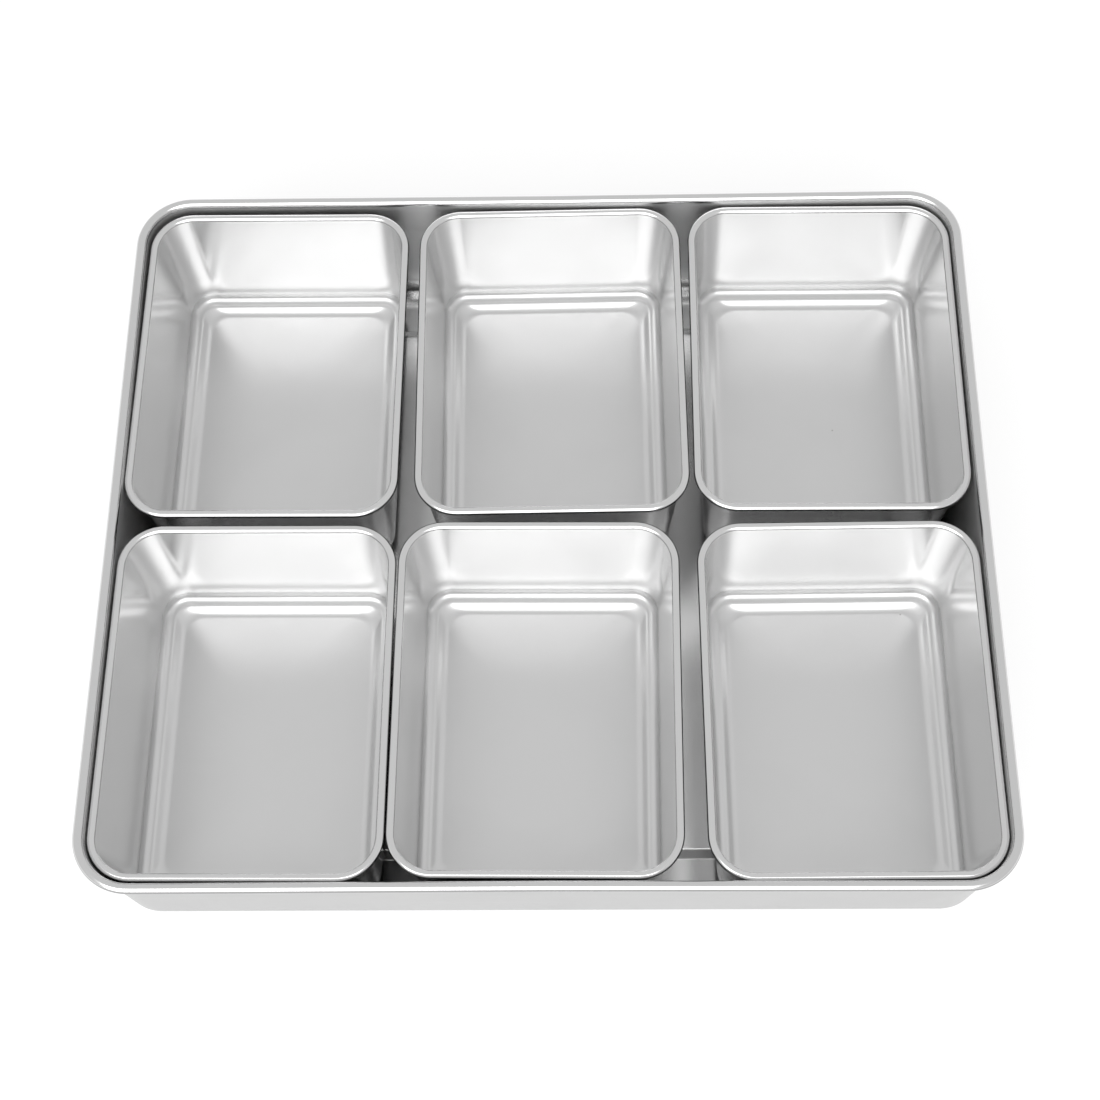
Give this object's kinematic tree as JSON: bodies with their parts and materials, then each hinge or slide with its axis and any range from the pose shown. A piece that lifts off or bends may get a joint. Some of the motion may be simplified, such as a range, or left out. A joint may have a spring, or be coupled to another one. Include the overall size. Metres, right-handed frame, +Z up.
{
  "type": "garnish tray",
  "caption": "Rectangular drawn steel tray with a rolled rim, holding loose deep drawn pans side by side for bar garnishes.",
  "frame": {"origin": "centre of the tray's footprint, on the surface that it stands on", "axes": "+X along the tray's longer side, to the right as seen in use; +Y away from the user, across the two rows of pans; +Z up"},
  "size_m": [0.355, 0.3064, 0.068],
  "materials": {
    "tray_steel": "bright drawn stainless steel, satin",
    "pan_steel": "bright drawn stainless steel, satin"
  },
  "bodies": {
    "tray": {"outer_tray": "tray_steel"},
    "pan_back_left": {"pan_back_left": "pan_steel"},
    "pan_back_middle": {"pan_back_middle": "pan_steel"},
    "pan_back_right": {"pan_back_right": "pan_steel"},
    "pan_front_left": {"pan_front_left": "pan_steel"},
    "pan_front_middle": {"pan_front_middle": "pan_steel"},
    "pan_front_right": {"pan_front_right": "pan_steel"}
  },
  "joints": [
    {"name": "back_left_lift", "type": "slide", "parent": "tray", "child": "pan_back_left", "axis": [0, 0, 1], "range_m": [0, 0.08]},
    {"name": "back_middle_lift", "type": "slide", "parent": "tray", "child": "pan_back_middle", "axis": [0, 0, 1], "range_m": [0, 0.08]},
    {"name": "back_right_lift", "type": "slide", "parent": "tray", "child": "pan_back_right", "axis": [0, 0, 1], "range_m": [0, 0.08]},
    {"name": "front_left_lift", "type": "slide", "parent": "tray", "child": "pan_front_left", "axis": [0, 0, 1], "range_m": [0, 0.08]},
    {"name": "front_middle_lift", "type": "slide", "parent": "tray", "child": "pan_front_middle", "axis": [0, 0, 1], "range_m": [0, 0.08]},
    {"name": "front_right_lift", "type": "slide", "parent": "tray", "child": "pan_front_right", "axis": [0, 0, 1], "range_m": [0, 0.08]}
  ]
}
